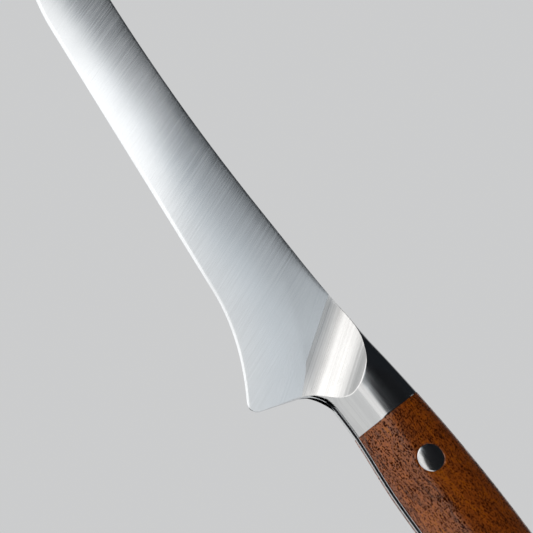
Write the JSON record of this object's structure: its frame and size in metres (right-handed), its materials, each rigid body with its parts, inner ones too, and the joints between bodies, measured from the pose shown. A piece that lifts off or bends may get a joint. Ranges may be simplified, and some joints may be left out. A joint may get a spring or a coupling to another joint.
{
  "type": "boning knife",
  "caption": "Boning knife: upswept steel blade with a dropped heel and finger notch, hollow-ground bolster, full tang between riveted wood scales.",
  "frame": {"origin": "on the centre plane where the fronts of the scales meet the bolster, about the middle of the grip's height", "axes": "+X towards the tip, +Z towards the spine with the cutting edge down, +Y out of the blade's left side"},
  "size_m": [0.3236, 0.018, 0.0543],
  "materials": {
    "blade_steel": "satin, fine lines across the blade",
    "bolster_steel": "bright satin in the hollow, polished on the flanks",
    "handle_wood": "oiled, smooth, short dark pores along the grain",
    "rivet_steel": "polished flush with the wood"
  },
  "bodies": {
    "root": {"blade_and_tang": "blade_steel", "bolster_left": "bolster_steel", "bolster_right": "bolster_steel", "scale_left": "handle_wood", "scale_right": "handle_wood", "rivet_pin_1": "rivet_steel", "rivet_tube_1": "rivet_steel", "rivet_pin_2": "rivet_steel", "rivet_tube_2": "rivet_steel", "rivet_pin_3": "rivet_steel", "rivet_tube_3": "rivet_steel"}
  },
  "joints": []
}
